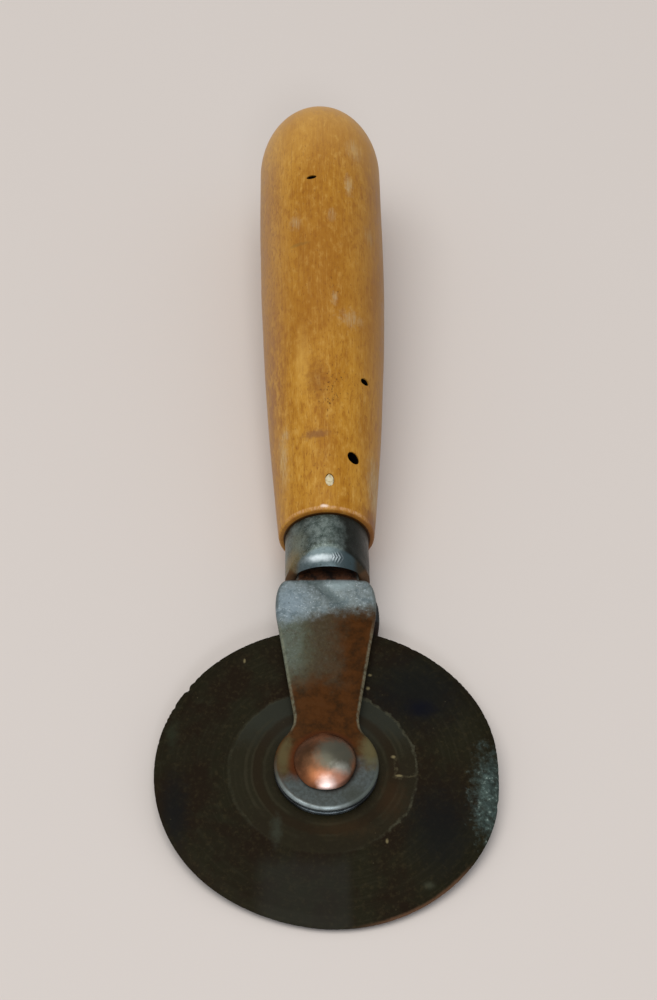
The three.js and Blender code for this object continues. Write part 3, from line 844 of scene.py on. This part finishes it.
def build_wheel(material):
    hole = BUSH_RADIUS + RUNNING_GAP
    flat = WHEEL_RADIUS - BEVEL_WIDTH
    half = WHEEL_HALF
    chamfer = 0.15
    edge_half = 0.05
    fine_from = 24
    rings = spread(hole + chamfer, fine_from, 10) + spread(fine_from, flat, 18)
    upper = [(hole, half - chamfer), (hole + chamfer, half)] + [(radius, half) for radius in rings]
    upper += [(flat + BEVEL_WIDTH * part, half - (half - edge_half) * part) for part in spread(0, 1, 8)]
    lower = [(radius, -height) for radius, height in reversed(upper)]
    obj = turned("wheel_plate", upper + lower, 900)

    def worn(place):
        turn = math.atan2(place.y, place.x)
        reach = math.hypot(place.x, place.y)
        rim_share = smooth(reach, flat - 4, WHEEL_RADIUS)
        place.xy *= 1 + rim_share * (worn_radius(turn) / WHEEL_RADIUS - 1)
        eaten = smooth(reach, 25.5, 27.5) * bell(math.degrees(turn), -9, 20)
        scales = 0.5 + noise.noise(place * 1.1) + 0.5 * noise.noise(place * 2.4)
        if place.z > 0:
            place.z -= 0.16 * eaten * max(0.0, scales) * (1 - 0.5 * rim_share)
        place.z += ripple(Vector((place.x, place.y, 0)), 0.05, 0.05, 3) * smooth(reach, 12, 20)
        return place

    reshape(obj, worn)
    return finished(obj, WHEEL_BODY, ["wheel"], material)


def build_washer(node, material):
    low, high = measured(node)
    hole = BUSH_RADIUS + 0.6
    rim = min(high.y, EYE_RADIUS)
    corners = [(hole, low.z, 0.12), (rim, low.z, 0.2), (rim, high.z, 0.25), (hole, high.z, 0.12)]
    obj = turned(node + "_ring", rounded(corners), 160)
    obj.data.transform(Matrix.Translation((EYE_SHIFT, 0, 0)))
    return finished(obj, FIXED_BODY, [node], material)


def build_rivet(material):
    base = ARM_TOP + 0.05
    rise = RIVET_HIGH.z - base
    lip = 0.35
    steps = 24
    head = []
    crown = rise - lip
    ball = (HEAD_RADIUS ** 2 + crown ** 2) / (2 * crown)
    for step in range(steps + 1):
        radius = HEAD_RADIUS * math.cos(math.pi / 2 * step / steps)
        full = crown * math.sqrt(1 - (radius / HEAD_RADIUS) ** 2)
        flat = math.sqrt(ball ** 2 - radius ** 2) - (ball - crown)
        head.append((radius, base + lip + HEAD_FULLNESS * full + (1 - HEAD_FULLNESS) * flat))
    head[-1] = (0, RIVET_HIGH.z)
    tail = RIVET_LOW.z
    section = [(0, tail), (TAIL_RADIUS * 0.6, tail + 0.06), (TAIL_RADIUS - 0.2, -ARM_TOP + 0.05)]
    section += [(SHANK_RADIUS, TAIL_DEPTH - ARM_TOP), (SHANK_RADIUS, base), (HEAD_RADIUS - 0.25, base)]
    obj = turned("rivet_body", section + head, 128)

    def hammered(place):
        under_rim = place.z > base - 0.01 and math.hypot(place.x, place.y) > SHANK_RADIUS + 0.01
        if under_rim or place.z > base + 0.5:
            height = smooth(place.z, base, base + 1.2)
            place.z += ripple(place, 0.4, 0.08, 5) * height
            turn = math.atan2(place.y, place.x)
            place.xy *= 1 + 0.012 * math.sin(5 * turn)
            place.y *= HEAD_STRETCH
            place.x += HEAD_SHIFT
        return place

    reshape(obj, hammered)
    return finished(obj, FIXED_BODY, ["rivet"], material)


def arm_outline():
    """An arm's anticlockwise outline, its shoulder leaning a little to the left."""
    neck_foot = math.sqrt(EYE_RADIUS ** 2 - NECK_HALF ** 2)
    fillet = math.degrees(math.atan2(neck_foot, NECK_HALF) - NECK_FILLET / EYE_RADIUS)
    edge = arc((0, 0), EYE_RADIUS, -90, fillet, 40)
    neck_start = (NECK_HALF + NECK_SPREAD, neck_foot + NECK_FILLET)
    edge += curve([edge[-1], (NECK_HALF, neck_foot), neck_start], 8)[1:]
    edge += curve([
        (SHOULDER_HALF, SHOULDER_START), (SHOULDER_HALF + 0.5, SHOULDER_START + 4),
        (SHOULDER_HALF + 0.1, SHOULDER_BACK), (SHOULDER_BACK_HALF, SHOULDER_BACK),
    ], 16)
    edge += [(TANG_HALF, SHOULDER_BACK), (TANG_HALF, TANG_END - TANG_TIP), (TANG_TIP_HALF, TANG_END)]

    def leaned(x, y, side):
        on_shoulder = 0 < y <= SHOULDER_BACK and x > TANG_HALF
        return (side * x + (EAR_LEAN * y / SHOULDER_BACK if on_shoulder else 0), y)

    right = [leaned(x, y, 1) for x, y in edge]
    left = [leaned(x, y, -1) for x, y in reversed(edge)]
    return right + left[:-1]


def arm_plate(name):
    """A flat arm with its two holes, cut finely enough to bend."""
    obj = stamped_plate(name, arm_outline(), ARM_BASE, ARM_TOP, EDGE_REACH, EDGE_DROP)
    above = 9
    cut(obj, [
        rod("hole", SHANK_RADIUS + HOLE_GAP, 0, 0, 0, above),
        rod("pin_hole", PIN_HIGH.x + HOLE_GAP, -GRIP_DRIFT, PIN_AT, 0, above),
    ])
    half = 9.5
    slice_up(obj, 1, -half, BEND_END + 1, 0.5)
    slice_up(obj, 0, -half, half, 0.5)
    return obj


def bent(place):
    """Cranks the sheet in towards the tang, behind the shoulder."""
    place.z -= (ARM_BASE - TANG_INNER) * smooth(place.y, BEND_START, BEND_END)
    return place


def build_upper_arm(material):
    obj = arm_plate("fork_plate_upper")
    crease_along = Vector((6.5, -6)).normalized()
    crease_centre = Vector((1.3, 38.5))
    crease_depth = 0.3
    dishing = 0.003

    def pressed(place):
        shoulder = smooth(place.y, 26, 38) * (1 - smooth(place.y, SHOULDER_BACK, SHOULDER_BACK + 2))
        gap = Vector((place.x, place.y)) - crease_centre
        across = gap.x * crease_along.y - gap.y * crease_along.x
        crease = bell(across, 0.9, 1.5) * bell(gap.dot(crease_along), 0, 6)
        place.z -= crease_depth * crease * shoulder
        place.z -= dishing * place.x ** 2 * shoulder
        place.z += ripple(place, 0.12, 0.08, 7)
        place.x += EYE_SHIFT * (1 - smooth(place.y, 0, SHOULDER_BACK)) + drift(place.y)
        return bent(place)

    reshape(obj, pressed)
    return finished(obj, FIXED_BODY, ["fork_arm_upper"], material)


def build_lower_arm(material):
    obj = arm_plate("fork_plate_lower")

    def pressed(place):
        place.z += ripple(place, 0.12, 0.06, 9) * smooth(place.z, ARM_BASE, ARM_TOP)
        place.x -= drift(place.y)
        return bent(place)

    reshape(obj, pressed)
    obj.data.transform(Matrix.Rotation(math.pi, 4, "Y"))
    return finished(obj, FIXED_BODY, ["fork_arm_lower"], material)


def mouth_reach(turn):
    """How far the ferrule's mouth reaches from its middle, at an angle from the top."""
    rise = MOUTH_CROWN - MOUTH_CORNER
    radius = (MOUTH_HALF ** 2 + rise ** 2) / (2 * rise)
    centre = MOUTH_CROWN - radius
    upward = abs(math.cos(turn))
    sideways = max(abs(math.sin(turn)), 1e-6)
    crown = centre * upward + math.sqrt(radius ** 2 - (centre * sideways) ** 2)
    side = MOUTH_HALF / sideways
    sharpness = 14
    return (crown ** -sharpness + side ** -sharpness) ** (-1 / sharpness)


def ferrule_section(turn):
    """The ferrule's (radius, y) section at an angle from the top: outside, back, inside, lip."""
    lip = mouth_reach(turn)
    depth = 0.9 + 3.3 * abs(math.cos(turn)) ** 3
    inner_radius = FERRULE_RADIUS - WALL
    steps = 18
    outer = []
    inner = []
    for step in range(steps + 1):
        part = step / steps
        swing = math.pi / 2 * part
        climb = part + FACET_ROUND * (math.sin(swing) - part)
        sweep = part + FACET_ROUND * (1 - math.cos(swing) - part)
        outer.append((lip + (FERRULE_RADIUS - lip) * climb, FERRULE_FRONT + depth * sweep))
        inner.append((lip + (inner_radius - lip) * climb, FERRULE_FRONT + WALL + depth * sweep))
    straight = spread(FERRULE_FRONT + depth + 0.4, FERRULE_BACK - 0.2, 12)
    back = [(FERRULE_RADIUS, y) for y in straight]
    back += [(FERRULE_RADIUS - 0.2, FERRULE_BACK), (inner_radius + 0.15, FERRULE_BACK)]
    back += [(inner_radius, y) for y in reversed(straight)]
    edge = [(lip - 0.12, FERRULE_FRONT + WALL * 0.75), (lip - 0.18, FERRULE_FRONT + WALL * 0.5)]
    edge += [(lip - 0.12, FERRULE_FRONT + WALL * 0.22)]
    return outer + back + inner[::-1] + edge


def build_ferrule(material):
    segments = 300
    sections = []
    for segment in range(segments):
        turn = 2 * math.pi * segment / segments
        sections.append([(r * math.sin(turn), y, r * math.cos(turn)) for r, y in ferrule_section(turn)])
    obj = swept("ferrule_cup", sections)

    def pressed(place):
        outward = Vector((place.x, 0, place.z)).normalized()
        place += outward * ripple(place, 0.3, 0.06, 11)
        place.x += drift(place.y)
        return place

    reshape(obj, pressed)
    return finished(obj, FIXED_BODY, ["ferrule"], material)


def handle_radius(y):
    """The handle's radius at a place along the cutter."""
    distance = y - HANDLE_FRONT
    dome_start = HANDLE_LENGTH - DOME_LENGTH
    if distance > dome_start:
        return BELLY_RADIUS * math.sqrt(max(0, 1 - ((distance - dome_start) / DOME_LENGTH) ** 2))
    short = max(0, (BELLY_AT - distance) / BELLY_AT)
    return BELLY_RADIUS - (BELLY_RADIUS - FRONT_RADIUS) * short ** 2


def let_in(obj, angle, y, height):
    """Takes an object from the origin to a place along the handle, at an angle from the top."""
    obj.data.transform(Matrix.Translation((0, y, height)))
    obj.data.transform(Matrix.Rotation(math.radians(angle), 4, "Y"))
    obj.data.transform(Matrix.Translation((drift(y), 0, 0)))


def peg(angle, y, half_across, half_along, depth, turn=0.0):
    """An oval cutter let into the handle at an angle from the top, its oval turned in its own plane."""
    steps = 28
    oval = []
    for step in range(steps):
        swing = 2 * math.pi * step / steps
        oval.append((half_across * math.cos(swing), half_along * math.sin(swing)))
    obj = stacked("peg", [(oval, -depth), (oval, 3)])
    obj.data.transform(Matrix.Rotation(math.radians(turn), 4, "Z"))
    let_in(obj, angle, y, handle_radius(y))
    return obj


def build_handle(material):
    tenon = FERRULE_RADIUS - WALL - HOLE_GAP
    rim = handle_radius(HANDLE_FRONT + FRONT_ROUND)
    section = [(0, TENON_FRONT), (tenon, TENON_FRONT), (tenon, HANDLE_FRONT)]
    section += curve([
        (rim - FRONT_ROUND, HANDLE_FRONT), (rim, HANDLE_FRONT), (rim, HANDLE_FRONT + FRONT_ROUND),
    ], 8)
    dome_start = BUTT - DOME_LENGTH
    along = spread(HANDLE_FRONT + FRONT_ROUND, dome_start, 90)
    along += [dome_start + DOME_LENGTH * math.sin(math.pi / 2 * part) for part in spread(0, 1, 36)]
    section += [(handle_radius(y), y) for y in along]
    section[-1] = (0, BUTT)
    obj = turned("handle_wood", section, 256, "Y")

    def uneven(place):
        if place.y > HANDLE_FRONT + 0.01:
            outward = Vector((place.x, 0, place.z))
            if outward.length > 0.1:
                place += outward.normalized() * ripple(place, 0.06, 0.1, 13)
        place.x += drift(place.y)
        return place

    reshape(obj, uneven)
    half = TANG_HALF + HOLE_GAP
    front = TENON_FRONT - 2
    back = TANG_END + 1
    height = TANG_INNER + SHEET + HOLE_GAP
    outline = [(-half, front), (half, front), (half, back), (-half, back)]
    slot = stacked("slot", [(outline, -height), (outline, height)])
    slot.data.transform(Matrix.Translation((GRIP_DRIFT, 0, 0)))
    cut(obj, [
        slot,
        rod("pin_bore", PIN_HIGH.x + HOLE_GAP, 0, PIN_AT, PIN_LOW.z - HOLE_GAP, PIN_HIGH.z + HOLE_GAP),
        peg(30, 67.6, 1.3, 1.5, 4, 38),
        peg(42, 88.5, 1.2, 0.9, 3, 20),
        peg(-10, 146.4, 1.15, 0.62, 0.9, 6),
        peg(FILLER_ANGLE, FILLER_AT, 0.9, 1.55, 0.5),
    ])
    return finished(obj, FIXED_BODY, ["handle"], material)


def build_filler(material):
    section = [(0, -0.45), (0.95, -0.45), (1.0, -0.15), (0.85, 0.02), (0.5, 0.08), (0, 0.1)]
    obj = turned("pin_filler", section, 48)

    def oval(place):
        turn = math.atan2(place.y, place.x)
        place.xy *= 0.92 + 0.12 * noise.noise(Vector((math.cos(turn), math.sin(turn), 0)) * 1.8)
        place.x *= 0.95
        place.y *= 1.6
        place.z += ripple(place, 2.0, 0.12, 17)
        return place

    reshape(obj, oval)
    let_in(obj, FILLER_ANGLE, FILLER_AT, handle_radius(PIN_AT) - 0.05)
    return finished(obj, FIXED_BODY, [], material)


def dress_inner_nodes(material):
    """Gives the pieces that keep their CAD shape a better material."""
    for node in ("bush", "tang_pin"):
        inner = frame["nodes"][node]
        inner.data.materials.clear()
        inner.data.materials.append(material)


# --- Stage ---

def build_floor():
    bpy.ops.mesh.primitive_plane_add(size=4)
    floor = bpy.context.object
    floor.name = "floor"
    f = Finish("pale_floor")
    f.tone = srgb(216, 210, 205)
    floor.data.materials.append(f.done(Roughness=0.9, Specular_IOR_Level=0.1))


def area_light(name, place, size, power, colour):
    light = bpy.data.lights.new(name, "AREA")
    light.shape = "RECTANGLE"
    light.size, light.size_y = size
    light.energy = power
    light.color = colour[:3]
    obj = in_scene(name, light)
    obj.location = place
    obj.rotation_euler = (Vector((0, 0, 0.01)) - Vector(place)).to_track_quat("-Z", "Y").to_euler()


def build_lights():
    world = bpy.data.worlds.new("room")
    world.use_nodes = True
    background = world.node_tree.nodes["Background"]
    background.inputs["Color"].default_value = srgb(240, 238, 240)
    background.inputs["Strength"].default_value = 0.48
    bpy.context.scene.world = world
    area_light("overhead", (-0.5, -0.1, 2.4), (2.4, 2.4), 38.0, srgb(255, 251, 246))
    area_light("front", (0.05, -1.0, 0.66), (0.26, 0.18), 2.2, srgb(244, 248, 255))


# --- Camera: its place from the hub and its aim, both in the cutter's axes ---

CAMERA_FROM_HUB = Vector((-9.87, -191.05, 314.78))
CAMERA_DOWN = math.radians(50.94)
CAMERA_RIGHT = math.radians(2.40)
CAMERA_ROLL = math.radians(2.17)
CAMERA_LENS = 71.6


def build_camera():
    data = bpy.data.cameras.new("camera")
    data.lens = CAMERA_LENS
    data.sensor_width = 36
    data.clip_start = 0.01
    camera = in_scene("camera", data)
    level = math.cos(CAMERA_DOWN)
    aside = math.sin(CAMERA_RIGHT)
    ahead = math.cos(CAMERA_RIGHT)
    forward = Vector((aside * level, ahead * level, -math.sin(CAMERA_DOWN)))
    flat_right = Vector((ahead, -aside, 0))
    flat_up = flat_right.cross(forward)
    right = flat_right * math.cos(CAMERA_ROLL) + flat_up * math.sin(CAMERA_ROLL)
    up = flat_up * math.cos(CAMERA_ROLL) - flat_right * math.sin(CAMERA_ROLL)
    aim = TURN @ Matrix((right, up, -forward)).transposed()
    camera.matrix_world = Matrix.Translation(TO_ROW @ CAMERA_FROM_HUB) @ aim.to_4x4()
    bpy.context.scene.camera = camera


build_camera()
build_floor()
build_lights()
bpy.context.scene.view_settings.view_transform = "Standard"

build_wheel(wheel_finish())
hub_steel = hub_finish()
build_washer("washer_upper", hub_steel)
build_washer("washer_lower", hub_steel)
dress_inner_nodes(hub_steel)
build_rivet(copper_finish())
build_upper_arm(arm_finish("rusted_plate"))
# The lower arm's plate carries painted shade, darkened nearly to black
build_lower_arm(arm_finish("shade_darkened_plate", 0.8))
build_ferrule(ferrule_finish())
build_handle(wood_finish())
build_filler(filler_finish())
